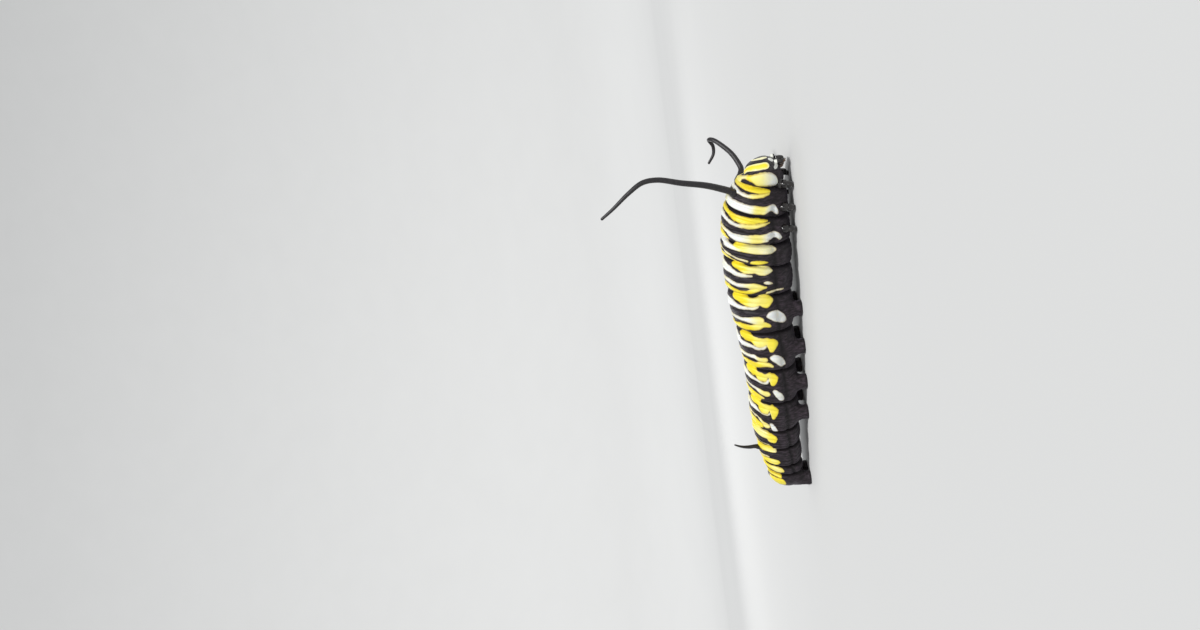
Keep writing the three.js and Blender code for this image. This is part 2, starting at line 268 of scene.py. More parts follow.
def roundEnd(path, radii):  # adds rings that close the last end in a dome
    turns = np.linspace(0, 88, 8)[1:] * deg      # short of 90, so that the last ring has a size
    dome = path[-1] + direction(path[-1] - path[-2]) * radii[-1] * np.sin(turns)[:, None]
    return np.vstack([path, dome]), np.concatenate([radii, radii[-1] * np.cos(turns)])


def outward(points, faces):  # turns the faces round if they point inwards
    corners = np.array([face[:3] for face in faces])
    a, b, c = (points[corners[:, k]] - points.mean(0) for k in range(3))
    volume = np.einsum('ij,ij->i', a, np.cross(b, c)).sum()
    return points, faces if volume > 0 else [face[::-1] for face in faces]


def joined(bodies):  # several closed bodies as one mesh
    starts = np.cumsum([0] + [len(points) for points, _ in bodies])
    faces = [tuple(v + start for v in face) for start, (_, some) in zip(starts, bodies) for face in some]
    return np.vstack([points for points, _ in bodies]), faces


# Camera: the larva hangs head up in the frame, so the camera is turned on its side

camera = {
    'place': (41.31, -85.47, 12.62),
    'aim': (5.05, -3.43, 19.95),
    'roll': -97.11,
    'lens': 27, 'sensor': 36,
}


def setCamera():
    data = bpy.data.cameras.new('camera')
    data.lens, data.sensor_width = camera['lens'], camera['sensor']
    data.clip_start, data.clip_end = 5 * mm, 5
    view = bpy.data.objects.new('camera', data)
    place, aim = Vector(camera['place']), Vector(camera['aim'])
    view.location = place * mm
    view.rotation_mode = 'QUATERNION'
    view.rotation_quaternion = ((aim - place).to_track_quat('-Z', 'Y')
                                @ Quaternion((0, 0, 1), camera['roll'] * deg))
    bpy.context.scene.collection.objects.link(view)
    bpy.context.scene.camera = view


setCamera()
print('camera set')


# Trunk: one skin over all thirteen segments

trunk = {
    'neck': 17.15,            # where the skin meets the head
    'middle': -1.62,          # the body's middle line, and its swing to each side
    'sway': 0.5,
    'swayLength': 26,
    'neckTurn': 20,
    'swell': 0.24,            # how far a segment swells between its folds
    'swellShape': 0.6,
    'tailRounding': 0.25,
    'around': 190,
    'rings': 13,              # for each millimetre, and in the short first segment
    'firstRings': 26,
    'crowding': 0.55,         # of the rings at the folds
    'tailRings': (9, 30),     # up to the rounding and over it
    'lip': ((0.35, 0.55), (0.75, 0.45), (0.93, 0.2)),   # rings inside the neck: size and depth
}

# At each segment's front fold: its length, the heights of back and belly, the width and the lean
segments = {
    'thorax_1': (1.02, 4.5, 1.35, 3.5, -8),
    'thorax_2': (2.63, 5.05, 0.75, 4.35, 9),
    'thorax_3': (3.0, 6.3, 0.6, 5.8, 16),
    'abdomen_1': (2.3, 6.9, 0.55, 6.4, 8),
    'abdomen_2': (3.15, 6.95, 0.6, 6.5, 13),
    'abdomen_3': (3.85, 6.9, 0.75, 6.3, 6),
    'abdomen_4': (4.0, 6.4, 0.9, 5.9, 3),
    'abdomen_5': (3.85, 5.95, 0.95, 5.5, 9),
    'abdomen_6': (3.7, 5.7, 0.95, 5.2, 10),
    'abdomen_7': (2.6, 5.55, 0.95, 5.0, 6),
    'abdomen_8': (2.6, 5.2, 0.9, 4.6, 1),
    'abdomen_9': (1.2, 4.75, 0.85, 4.1, 5),
    'abdomen_10': (2.3, 4.4, 0.8, 3.8, 5),
}
tail = (3.9, 0.9, 3.2, 5)

names = list(segments)
lengths = np.array([row[0] for row in segments.values()])
stations = np.concatenate([[0], np.cumsum(lengths)])
foldRows = np.array([row[1:] for row in segments.values()] + [tail], float)


def middleLine(station):  # a place, and the ways ahead and to the left
    turn = 2 * math.pi / trunk['swayLength']
    slope = trunk['sway'] * turn * np.cos(station * turn)
    size = np.sqrt(1 + slope ** 2)
    level = np.zeros_like(slope)
    place = np.stack([trunk['neck'] - station,
                      trunk['middle'] + trunk['sway'] * np.sin(station * turn), level], -1)
    ahead = np.stack([1 / size, -slope / size, level], -1)
    left = np.stack([slope / size, 1 / size, level], -1)
    return place, ahead, left


def skinPoint(place, angle, grow=0.0):  # place is the segment's number and share together
    place, angle, grow = np.broadcast_arrays(np.asarray(place, float), angle, grow)
    index = np.clip(np.floor(place).astype(int), 0, len(names) - 1)
    share = place - index
    top, belly, width = np.moveaxis(catmullRom(foldRows[:, :3], place), -1, 0)
    lean = foldRows[index, 3] * (1 - share) + foldRows[index + 1, 3] * share
    swell = trunk['swell'] * np.maximum(np.sin(math.pi * share), 0) ** trunk['swellShape']
    last = np.clip((place - len(names) + 1 - trunk['tailRounding']) / (1 - trunk['tailRounding']), 0, 1)
    narrow = np.sqrt(1 - last ** 2)
    up = (((top - belly) / 2 + swell) * narrow + grow) * np.cos(angle)
    side = ((width / 2 + swell) * narrow + grow) * np.sin(angle)
    turn = np.where(index == 0, trunk['neckTurn'] * (1 - share), 0)
    forward = up * np.tan(lean * deg) - side * np.tan(turn * deg)
    middle, ahead, left = middleLine(stationIn(index, share))
    point = middle + ahead * forward[..., None] + left * side[..., None]
    point[..., 2] = (top + belly) / 2 + up
    return point


def stationIn(segment, share):  # millimetres behind the neck
    return stations[segment] + share * lengths[segment]


def placeAt(station):
    return np.interp(station, stations, np.arange(len(stations)))


# Relief of the skin: folds between segments, creases within them, a pleat along each side
relief = {
    'foldDepth': 0.17, 'foldWidth': 0.15,
    'foldSide': 0.14, 'foldSideFrom': (20, 90),       # deeper on the sides, between these angles
    'creases': (0.2, 0.41, 0.6, 0.77), 'creaseDepth': 0.1, 'creaseWidth': 0.1,
    'creaseFade': (80, 110), 'creaseFaded': 0.5,      # shallower by this share, low on the sides
    'band': 0.06, 'bandEdge': (-0.12, 0.16),          # how far the pale bands stand out of the black
    'collar': 0.13, 'collarWidth': 0.42,              # round the root of each filament
    'pleatAngle': 114, 'pleatDepth': 0.13, 'pleatWidth': 5,
    'swellings': ((99, 0.1), (126, 0.12)), 'swellingWidth': 9,   # above and below the pleat
    'sideFrom': (1.5, 3.0), 'sideTo': (33, 35),       # the stretch that has a pleat
    'wrinkle': 0.035, 'wrinkleSize': 0.8, 'wrinkleStretch': (2.2, 1, 1), 'wrinkleFrom': (0.5, 1.5),
}


def reliefAt(place, station, angle):
    turned = np.abs(angle) / deg
    grow = np.zeros_like(station)
    depth = relief['foldDepth'] + relief['foldSide'] * blend(*relief['foldSideFrom'], turned)
    for fold in stations[1:-1]:
        grow -= depth * hump(station - fold, relief['foldWidth'])
    depth = relief['creaseDepth'] * (1 - relief['creaseFaded'] * blend(*relief['creaseFade'], turned))
    for start, length in zip(stations[1:-2], lengths[1:-1]):
        for share in relief['creases']:
            grow -= depth * hump(station - start - share * length, relief['creaseWidth'])
    sided = blend(*relief['sideFrom'], station) * (1 - blend(*relief['sideTo'], station))
    grow -= relief['pleatDepth'] * sided * hump(turned - relief['pleatAngle'], relief['pleatWidth'])
    middleOf = np.sin(math.pi * (place - np.floor(place)))
    for where, height in relief['swellings']:
        grow += height * sided * middleOf * hump(turned - where, relief['swellingWidth'])
    return grow


# Fleshy feet, drawn out of the same skin: where each one is, and how far it stands from the middle line
feet = {
    'proleg_3': {'segment': 5, 'along': 0.55, 'out': 1.6},
    'proleg_4': {'segment': 6, 'along': 0.55, 'out': 1.6},
    'proleg_5': {'segment': 7, 'along': 0.55, 'out': 1.6},
    'proleg_6': {'segment': 8, 'along': 0.55, 'out': 1.6},
    'anal_proleg': {'segment': 12, 'along': 0.5, 'out': 1.1},
}
footForm = {
    'reachAlong': 1.45,       # how much skin is drawn in: millimetres along, and degrees to each side
    'round': 144, 'reachRound': 31,              # of this angle from the back
    'sole': 0.68, 'edge': 0.83, 'edgeHeight': 0.12, 'ankle': 0.8, 'ankleHeight': 0.5,    # radii, heights
    'squash': 0.86,           # its width for its length
    'creases': (0.42, 0.72, 1.0), 'creaseDepth': 0.09, 'creaseWidth': 0.07,              # by height
    'creaseFade': (0.75, 1), 'skinFade': (0.6, 1),    # where one relief meets the other
    'beyond': 1.15,           # how far out the curve takes its direction from the skin
    'hip': (0.7, 0.7, 0.45),  # the ankle's share in the place above it
}


def footAxis(foot, side):  # the middle of its sole
    middle, _, left = middleLine(stationIn(foot['segment'], foot['along']))
    return middle + left * side * foot['out']


def footKnots(foot, side, ahead, out):  # from the middle of the sole to the skin round the foot, and beyond
    station = stationIn(foot['segment'], foot['along'])
    along = np.stack([ahead, side * out * footForm['squash'], np.zeros_like(out)], -1)
    knots = [footAxis(foot, side) + along * radius + np.array([0, 0, height]) for radius, height in (
        (0, 0), (footForm['sole'], 0), (footForm['edge'], footForm['edgeHeight']),
        (footForm['ankle'], footForm['ankleHeight']))]
    for reach in (1, footForm['beyond']):
        place = placeAt(station - reach * footForm['reachAlong'] * ahead)
        turned = footForm['round'] - reach * footForm['reachRound'] * out
        knots.append(skinPoint(place, side * turned * deg))
    ankle, edge = knots[-3], knots[-2]
    knots.insert(-2, ankle * footForm['hip'] + edge * (1 - np.array(footForm['hip'])))
    return np.stack(knots)


def footPoints(foot, side, ahead, out):  # where skin at these shares of a foot's reach goes
    share = np.hypot(ahead, out)
    centred = share < 1e-6
    ahead = np.where(centred, 1, ahead / np.where(centred, 1, share))
    out = out / np.where(centred, 1, share)
    knots = footKnots(foot, side, ahead, out)
    steps = np.linalg.norm(np.diff(knots, axis=0), axis=-1)
    run = np.vstack([np.zeros_like(steps[:1]), np.cumsum(steps, axis=0)])
    target = share * run[-2]
    low = np.clip((target[None] >= run[1:-1]).sum(0), 0, len(knots) - 3)
    pick = np.arange(len(target))
    slopes = np.stack([(knots[k + 1] - knots[max(k - 1, 0)])
                       / (run[k + 1] - run[max(k - 1, 0)])[:, None]
                       for k in range(len(knots) - 1)])
    width = (run[low + 1, pick] - run[low, pick])[:, None]
    t = ((target - run[low, pick])[:, None]) / width
    point = hermite(knots[low, pick], knots[low + 1, pick], width * slopes[low, pick],
                    width * slopes[low + 1, pick], t)
    squeeze = sum(hump(point[:, 2] - height, footForm['creaseWidth']) for height in footForm['creases'])
    squeeze *= footForm['creaseDepth'] * (1 - blend(*footForm['creaseFade'], share))
    point[:, :2] += (footAxis(foot, side)[:2] - point[:, :2]) * squeeze[:, None]
    point[:, 2] = np.maximum(point[:, 2], 0)
    return point


filamentRoots = {'front': (1, 0.42, 37), 'rear': (10, 0.28, 24)}   # segment, share along it, angle
rootTwist = 13                # both pairs are turned about the body to the left
degreeWidth = 0.055           # about how wide one degree round the body is, in millimetres


def ringPlaces():  # close together at the folds
    places = []
    for index, length in enumerate(lengths[:-1]):
        steps = round(length * (trunk['rings'] if index else trunk['firstRings']))
        x = np.arange(steps) / steps
        places.append(index + x - trunk['crowding'] * np.sin(2 * math.pi * x) / (2 * math.pi))
    start, last = trunk['tailRounding'], len(names) - 1
    plain, rounded = trunk['tailRings']
    places.append(last + np.linspace(0, start, plain)[:-1])
    places.append(last + start + (1 - start) * np.sin(np.linspace(0, 90, rounded)[:-1] * deg))
    return np.concatenate(places)


# Pale strokes on the black skin, segment by segment. A stroke is rows of (angle from the back, front
# edge, rear edge, warmth), the edges as shares of the segment and warmth from 0, white, to 1, yellow.
# A black one is rows of the first three. A stroke that starts at angle 0 crosses the back.
markings = {
    'thorax_1': [
        [(0, .05, 1.02, .62), (14, .05, 1.02, .6), (27, .06, 1, .45)],
        [(12, .06, .62, .6), (26, .08, .46, .4), (40, .1, .42, .5), (50, .12, .5, .8), (62, .14, .62, .65),
         (75, .12, .88, .6), (90, .1, .92, .45), (105, .14, .92, .2), (118, .26, .95, 0),
         (129, .42, .92, 0)],
        [(12, .6, 1.02, .6), (26, .78, 1.02, .8), (45, .86, 1.04, .9), (60, .9, 1.06, .9)],
    ],
    'thorax_2': [
        [(0, -.02, .1, .75), (20, -.02, .1, .8), (40, -.02, .12, .95), (60, -.02, .16, 1), (80, 0, .17, .9),
         (95, .02, .14, .8), (106, .05, .11, .8)],
        [(0, .16, .3, .1), (20, .17, .3, 0), (30, .2, .33, 0), (45, .24, .37, .05), (56, .24, .38, .2),
         (70, .2, .36, .5), (80, .18, .32, .6), (90, .15, .27, .6), (104, .11, .19, .6)],
        [(0, .61, .86, .3), (12, .61, .88, .12), (25, .61, .94, 0), (45, .61, .97, 0), (60, .61, .97, 0),
         (72, .6, .95, .15), (80, .59, .92, .5), (88, .58, .88, .6), (96, .57, .86, .45),
         (101, .54, .8, .25), (106, .5, .74, .05), (113, .51, .77, 0), (119, .6, .84, 0),
         (124, .76, .86, 0)],
    ],
    'thorax_3': [
        [(0, .03, .15, .85), (20, .06, .19, .9), (40, .09, .27, 1), (60, .08, .3, 1), (75, .06, .26, .9),
         (90, .05, .18, .85), (104, .05, .1, .85)],
        [(0, .21, .38, .1), (15, .24, .4, 0), (30, .3, .43, 0), (40, .33, .45, 0), (50, .34, .45, .1),
         (60, .31, .44, .4), (75, .26, .42, .6), (85, .22, .36, .6), (95, .16, .27, .6),
         (107, .11, .16, .6)],
        [(0, .62, .72, .5), (10, .6, .7, .4), (20, .62, .74, .3), (30, .64, .81, .1), (40, .66, .88, 0),
         (50, .67, .93, 0), (60, .66, .93, .1), (70, .64, .93, .3), (80, .6, .92, .6), (90, .57, .9, .55),
         (97, .53, .86, .3), (104, .47, .82, .05), (110, .45, .72, 0), (118, .47, .7, 0), (124, .55, .8, 0),
         (129, .68, .8, 0)],
        [(0, .76, .95, .85), (10, .76, .95, .85), (20, .8, .95, .85), (33, .89, .97, .85)],
    ],
    'abdomen_1': [
        [(0, -.14, .14, .1), (10, -.1, .2, .05), (20, 0, .28, 0), (30, .04, .33, 0), (40, .1, .36, .05),
         (50, .15, .36, .2), (60, .2, .37, .35)],
        [(43, -.05, .16, .85), (50, -.07, .26, .85), (60, -.04, .35, .65), (75, 0, .38, .45),
         (90, 0, .37, .35), (100, 0, .36, .3), (110, .02, .33, .25), (118, .1, .25, .2)],
        [(0, .42, .56, .25), (12, .45, .57, .25), (20, .52, .65, .3), (30, .6, .74, .35), (40, .66, .78, .3),
         (50, .71, .82, .25), (60, .73, .85, .3), (69, .76, .86, .4)],
        [(0, .64, .9, .8), (20, .74, .93, .7), (40, .86, .98, .7), (52, .91, 1, .8)],
        [(72, .8, .95, .85), (80, .72, .94, .8), (88, .68, .9, .8), (95, .68, .82, .8), (101, .71, .77, .8)],
    ],
    'abdomen_2': [
        [(35, 0, .08, 1), (40, -.02, .17, 1), (48, -.03, .22, 1), (57, 0, .26, .9), (66, .04, .28, .6),
         (78, .02, .24, .5), (84, -.01, .27, .45), (95, -.04, .26, .4), (103, -.02, .2, .35),
         (109, .05, .13, .35)],
        [(0, .03, .34, .15), (10, .08, .37, .05), (20, .14, .38, 0), (30, .18, .39, 0), (40, .24, .42, 0),
         (50, .29, .43, .05), (60, .3, .42, .1), (70, .31, .38, .15), (75, .31, .36, .2)],
        [(91, .5, .55, .3), (97, .46, .58, .1), (103, .48, .58, .2), (108, .53, .57, .3)],
        [(0, .57, .66, .25), (15, .57, .67, .2), (25, .58, .7, .1), (35, .61, .74, .03), (45, .64, .77, 0),
         (55, .64, .76, .1), (62, .62, .76, .35), (70, .59, .78, .55), (80, .58, .76, .6),
         (87, .61, .72, .6), (93, .64, .7, .6)],
        [(0, .75, .9, .8), (15, .75, .9, .8), (25, .77, .92, .85), (35, .82, .95, .95), (45, .85, .97, 1),
         (55, .86, .97, 1), (64, .82, .96, .9), (72, .76, .92, .8), (80, .7, .86, .7), (90, .65, .77, .65),
         (97, .64, .7, .6)],
        [(94, .86, .93, .45), (103, .81, .88, .3), (113, .78, .85, .25), (128, .75, .81, .25)],
    ],
    'abdomen_3': [
        [(25, -.02, .04, 1), (30, -.04, .12, 1), (38, -.05, .18, 1), (48, -.03, .23, 1), (57, 0, .27, .9),
         (66, .05, .29, .65), (75, .04, .28, .6), (81, 0, .24, .65), (86, -.05, .28, .7),
         (95, -.06, .29, .75), (101, -.02, .22, .75), (107, .05, .13, .7)],
        [(0, .15, .38, .1), (10, .15, .38, .02), (20, .18, .37, 0), (30, .22, .37, 0), (40, .26, .39, 0),
         (50, .28, .38, .05), (60, .29, .37, .1), (70, .28, .36, .15), (80, .24, .3, .2)],
        [(0, .6, .68, .15), (20, .6, .67, .1), (30, .6, .68, 0), (45, .6, .7, 0), (55, .58, .71, .05),
         (63, .56, .73, .25), (72, .54, .77, .5), (80, .54, .75, .55), (86, .58, .69, .5)],
        [(0, .78, .91, .8), (20, .8, .91, .8), (30, .78, .92, .9), (45, .78, .93, 1), (58, .78, .92, .95),
         (66, .75, .91, .75), (75, .7, .88, .6), (84, .67, .82, .65), (91, .7, .82, .7), (97, .76, .82, .7)],
        [(90, .5, .56, 0), (95, .43, .6, 0), (102, .39, .66, 0), (110, .39, .71, 0), (116, .43, .75, 0),
         (119, .53, .77, 0), (124, .7, .79, 0)],
    ],
    'abdomen_4': [
        [(22, .02, .08, 1), (27, -.02, .17, 1), (35, -.02, .22, 1), (45, 0, .23, 1), (54, .03, .25, .95),
         (60, .07, .32, .7), (70, .1, .35, .65), (80, .11, .33, .65), (84, .1, .3, .7), (87, .1, .44, .75),
         (91, .12, .46, .8), (96, .13, .44, .85), (101, .15, .34, .85), (107, .2, .27, .85)],
        [(0, .05, .35, .15), (10, .1, .4, .05), (20, .2, .43, 0), (30, .26, .42, 0), (40, .28, .42, 0),
         (50, .3, .41, .05), (60, .33, .43, .1), (70, .35, .42, .1), (80, .29, .38, .1),
         (83.5, .27, .32, .1)],
        [(0, .61, .71, .2), (25, .61, .71, .2), (35, .61, .7, .1), (45, .6, .7, .05), (55, .59, .7, .1),
         (60, .62, .74, .4), (70, .63, .75, .55), (78, .62, .73, .55), (82, .63, .7, .5)],
        [(0, .82, 1, .9), (18, .82, 1, .9), (25, .8, 1, .9), (35, .79, 1, 1), (45, .79, .98, 1),
         (55, .79, .95, .95), (63, .76, .92, .8), (72, .74, .88, .65), (82, .75, .87, .6),
         (88, .79, .88, .5), (92, .82, .88, .5)],
        [(86, .59, .65, 0), (91, .54, .7, 0), (95, .51, .74, 0), (101, .53, .8, 0), (107, .57, .86, 0),
         (113, .63, .88, 0), (119, .74, .86, 0)],
    ],
    'abdomen_5': [
        [(17, 0, .06, 1), (22, -.05, .14, 1), (30, -.08, .2, 1), (40, -.05, .22, 1), (48, 0, .22, 1),
         (53, .05, .28, .8), (62, .07, .3, .75), (72, .08, .28, .7), (78, .05, .2, .7), (81, .04, .37, .75),
         (86, .05, .4, .85), (92, .06, .33, .9), (99, .1, .2, .9)],
        [(0, .15, .31, .3), (10, .18, .35, .15), (20, .2, .36, .1), (30, .23, .37, .05), (40, .25, .36, .05),
         (50, .27, .37, .1), (60, .32, .4, .1), (70, .3, .38, .1), (76, .22, .33, .1), (79, .22, .26, .1)],
        [(0, .57, .65, .25), (25, .56, .63, .2), (35, .56, .64, .1), (45, .55, .65, .1), (53, .57, .72, .3),
         (62, .6, .77, .5), (70, .6, .77, .5), (75, .61, .73, .5), (78, .63, .7, .5)],
        [(0, .74, 1.04, .9), (15, .75, 1.04, .9), (22, .72, 1.04, .95), (30, .7, 1.04, 1),
         (38, .74, 1.04, 1), (47, .77, 1.04, 1), (54, .79, .92, .85), (63, .81, .87, .6)],
        [(83, .54, .61, 0), (87, .5, .68, 0), (91, .5, .75, 0), (96, .54, .82, 0), (102, .6, .86, 0),
         (109, .72, .87, 0)],
    ],
    'abdomen_6': [
        [(14, 0, .08, 1), (20, -.05, .15, 1), (30, -.05, .18, 1), (40, -.03, .18, 1), (46, .02, .25, .9),
         (52, .05, .35, .8), (60, .05, .36, .7), (68, .05, .33, .7), (73, .05, .24, .75),
         (76, .04, .44, .75), (80, .03, .48, .8), (86, .05, .42, .85), (93, .1, .25, .9)],
        [(0, .17, .3, .35), (10, .2, .33, .2), (20, .21, .36, .1), (30, .22, .36, .05), (40, .24, .37, .05),
         (50, .34, .41, .1), (60, .36, .42, .1), (68, .33, .4, .1), (74, .24, .32, .1)],
        [(0, .53, .6, .4), (20, .52, .6, .4), (30, .52, .62, .3), (40, .53, .61, .2), (48, .6, .7, .3),
         (55, .65, .85, .5), (62, .67, .87, .5), (70, .71, .84, .5)],
        [(0, .64, 1.04, .85), (15, .64, 1.04, .9), (25, .65, 1.04, .9), (35, .66, 1, .9),
         (45, .72, .95, .85), (53, .8, .91, .8)],
        [(69, .64, .7, 0), (74, .62, .92, 0), (78, .66, .98, 0), (83, .76, 1, 0), (88, .88, 1, 0)],
    ],
    'abdomen_7': [
        [(0, -.1, .34, .85), (10, -.1, .34, .85), (20, -.1, .36, .75), (30, -.05, .39, .6),
         (40, .02, .42, .5), (50, .03, .42, .5), (58, .04, .42, .6), (63, .06, .52, .7), (70, .08, .56, .8),
         (77, .12, .55, .9), (84, .19, .42, .85)],
        [(0, .66, .74, .3), (20, .68, .76, .3), (35, .7, .78, .3), (50, .69, .76, .3), (60, .69, .76, .3)],
        [(0, .82, 1, .95), (20, .82, 1, .95), (35, .82, .98, .9), (50, .8, .96, .85), (60, .79, .95, .8),
         (68, .82, .92, .7)],
    ],
    'abdomen_8': [
        [(0, 0, .24, .85), (20, 0, .24, .85), (40, -.04, .22, .7), (55, -.06, .18, .55),
         (66, -.05, .16, .45), (75, .02, .12, .4)],
        [(0, .48, .57, .3), (20, .48, .57, .3), (40, .44, .52, .3), (52, .43, .5, .3)],
        [(0, .62, .9, .95), (30, .6, .9, .9), (50, .54, .9, .75), (66, .54, .88, .7), (79, .6, .78, .8)],
    ],
    'abdomen_9': [
        [(0, .1, .5, .9), (24, .12, .5, .85), (45, .1, .6, .7), (70, .1, .7, .6), (84, .25, .6, .7)],
        [(0, .8, 1, .9), (40, .8, 1, .9), (72, .85, 1, .8)],
    ],
    'abdomen_10': [
        [(0, .02, .14, .8), (40, .02, .16, .8), (70, .04, .2, .8)],
        [(20, .2, .3, .6), (34, .2, .62, .75), (55, .22, .72, .8), (80, .26, .7, .85)],
        [(0, .62, .8, .85), (24, .62, .8, .85), (50, .66, .84, .85)],
    ],
}
blackMarkings = {
    'thorax_1': [
        [(50, -.1, .03), (60, -.1, .07), (80, -.1, .1), (100, -.1, .06), (110, -.1, 0)],
        [(66, .86, .94), (80, .92, 1), (100, .93, 1.04), (130, .95, 1.08)],
    ],
    'thorax_2': [
        [(0, .1, .15), (20, .11, .16), (40, .13, .19), (58, .17, .22), (70, .18, .21)],
        [(104, .72, .9), (108, .78, .95)],
    ],
    'thorax_3': [
        [(104, .74, .9), (109, .74, .95)],
    ],
}
merging = 0.07                # how softly the colours of two strokes run into each other
outside = -1.0                # height far from all strokes


def strokeHeight(rows, length, along, turned):  # above 0 inside a stroke, in millimetres
    front = through(rows[:, 0], rows[:, 1], turned)
    rear = through(rows[:, 0], rows[:, 2], turned)
    middle, half = (front + rear) / 2 * length, (rear - front) / 2 * length
    beyond = half - (rows[-1, 0] - turned) * degreeWidth          # its ends are round
    if rows[0, 0] > 0:
        beyond = np.maximum(beyond, half - (turned - rows[0, 0]) * degreeWidth)
    return half - np.hypot(np.maximum(beyond, 0), along - middle)


def markingFields(station, angle):
    turned = np.abs(angle) / deg
    pale, black = np.full(len(station), outside), np.full(len(station), outside)
    warmth, weight = np.zeros(len(station)), np.full(len(station), 1e-9)
    for index, name in enumerate(names):
        along = station - stations[index]
        near = (along > -1) & (along < lengths[index] + 1)
        for rows in markings[name]:
            rows = np.array(rows, float)
            height = strokeHeight(rows, lengths[index], along[near], turned[near])
            share = np.exp(np.clip(height, -1, 1) / merging)
            pale[near] = np.maximum(pale[near], height)
            warmth[near] += share * through(rows[:, 0], rows[:, 3], turned[near])
            weight[near] += share
        for rows in blackMarkings.get(name, ()):
            height = strokeHeight(np.array(rows, float), lengths[index], along[near], turned[near])
            black[near] = np.maximum(black[near], height)
    return {'pale': np.minimum(pale, -black), 'warmth': np.clip(warmth / weight, 0, 1)}


skinColours = {
    'pale': [(0.0, (0.72, 0.74, 0.72)), (0.15, (0.75, 0.75, 0.62)), (0.5, (0.79, 0.72, 0.25)),
             (0.8, (0.79, 0.67, 0.05)), (1.0, (0.78, 0.63, 0.015))],           # by warmth
    'edgeShade': (0.42, 0.26, 0.03),                 # painted shade: a darker brown where pale meets black
    'black': ((0.006, 0.004, 0.005), (0.050, 0.035, 0.047)),                 # painted shade in the creases, and the velvet's own dark between
    'sheen': (0.75, 0.65, 0.85),
}


def skinFinish():
    m = Finish('bandedSkin')
    here = m.place()
    pale, depth = m.field('pale'), m.field('depth')
    ragged = (m.speckle(here, 1.8, 3) - 0.5) * 0.16 + (m.speckle(here, 5, 2) - 0.5) * 0.04
    paleMask = m.step(pale + ragged, -0.025, 0.025)
    mottle = m.speckle(here, 0.9, 4)
    warmth = m.field('warmth') + (mottle - 0.5) * 0.4
    colour = m.add('ValToRGB', {'stops': skinColours['pale']}, {'Fac': warmth})
    # painted shade: the pale darkens towards brown at its edge with the black
    edge = m.step(pale + ragged, 0.0, 0.16)
    edgeShade = m.mix(skinColours['edgeShade'], (1.0, 1.0, 1.0), 0.45 + 0.55 * edge)
    colour = m.add('Mix', {'data_type': 'RGBA', 'blend_type': 'MULTIPLY'}, {0: 1.0, 6: colour, 7: edgeShade}, 2)
    grain = m.speckle(here, 9, 3)
    pucker = m.speckle(m.place((2.5, 1, 1)), 2.2, 3)
    wax = m.surface({'Base Color': colour, 'Roughness': 0.34 + 0.22 * grain,
                     'Subsurface Weight': 0.12, 'Subsurface Scale': 0.25 * mm,
                     'Subsurface Radius': (1.0, 0.7, 0.3),
                     'Normal': m.bump(pucker + 0.35 * grain, 0.35, 0.06)})
    wrinkles = m.speckle(m.place((5, 1.2, 1.2)), 1.6, 4, 0.6)
    # painted shade: where the depth field is low, in folds and creases, the velvet turns to its darkest black
    napAndCreaseShade = m.step(wrinkles, 0.38, 0.72) * m.step(depth, -0.12, 0.06)
    dark = m.mix(*skinColours['black'], napAndCreaseShade)
    velvet = m.surface({'Base Color': dark, 'Roughness': 0.55, 'Specular IOR Level': 0.3, 'Sheen Weight': 0.1,
                        'Sheen Roughness': 0.4, 'Sheen Tint': skinColours['sheen'],
                        'Normal': m.bump(wrinkles, 0.6, 0.07)})
    return m.finished(m.add('MixShader', None, {0: paleMask, 1: velvet, 2: wax}))


def collars(station, angle):  # the swelling round the root of each filament
    grow = np.zeros_like(station)
    for index, share, turned in filamentRoots.values():
        ahead = stationIn(index, share) - station
        for side in sides.values():
            away = np.hypot(ahead, (angle / deg - side * turned - rootTwist) * degreeWidth)
            grow += relief['collar'] * hump(away, relief['collarWidth'])
    return grow


def drawFeet(points, plain, station, angle):  # pulls the skin down into the feet
    for foot in feet.values():
        ahead = (stationIn(foot['segment'], foot['along']) - station) / footForm['reachAlong']
        for side in sides.values():
            out = (footForm['round'] - side * angle / deg) / footForm['reachRound']
            share = np.hypot(ahead, out)
            near = share < 1
            lift = (points - plain)[near] * blend(*footForm['skinFade'], share[near])[:, None]
            points[near] = footPoints(foot, side, ahead[near], out[near]) + lift
            points[near, 2] = np.maximum(points[near, 2], 0)


def buildSkin():
    places = ringPlaces()
    angles = turnsOf(trunk['around'])
    angles = np.where(angles > math.pi, angles - 2 * math.pi, angles)
    place, angle = (a.ravel() for a in np.meshgrid(places, angles, indexing='ij'))
    station = np.interp(place, np.arange(len(stations)), stations)
    grow = reliefAt(place, station, angle) + collars(station, angle)
    plain = skinPoint(place, angle)
    uneven = unevenness(plain * relief['wrinkleStretch'], relief['wrinkleSize'])
    grow += relief['wrinkle'] * uneven * blend(*relief['wrinkleFrom'], station)
    fields = markingFields(station, angle)
    grow += relief['band'] * blend(*relief['bandEdge'], fields['pale'])
    # the skin's material paints shade into the creases from this depth
    fields['depth'] = grow
    points = skinPoint(place, angle, grow)
    drawFeet(points, plain, station, angle)
    rings = points.reshape(len(places), trunk['around'], 3)
    neck = rings[0].mean(0)
    lip = [neck + (rings[0] - neck) * size - (depth, 0, 0) for size, depth in trunk['lip']]
    body = sleeve(np.concatenate([lip, rings]))
    for key, values in fields.items():
        inside = np.full(len(lip) * trunk['around'], outside)
        fields[key] = np.concatenate([inside, values, [outside, values[-1]]])
    replaced = [*names, *(f'{foot}_{side}' for foot in feet for side in sides)]
    return makePiece('skin', body, skinFinish(), fields, replaced)


skin = buildSkin()
print('skin built', len(skin.data.polygons))


# Black parts

partColours = {
    'velvet': ((0.007, 0.006, 0.007), (0.024, 0.020, 0.024)),
    'shell': ((0.006, 0.005, 0.005), (0.022, 0.018, 0.017)),
    'brown': ((0.10, 0.045, 0.02), (0.22, 0.12, 0.06)),
    'pale': (0.78, 0.79, 0.72),
}


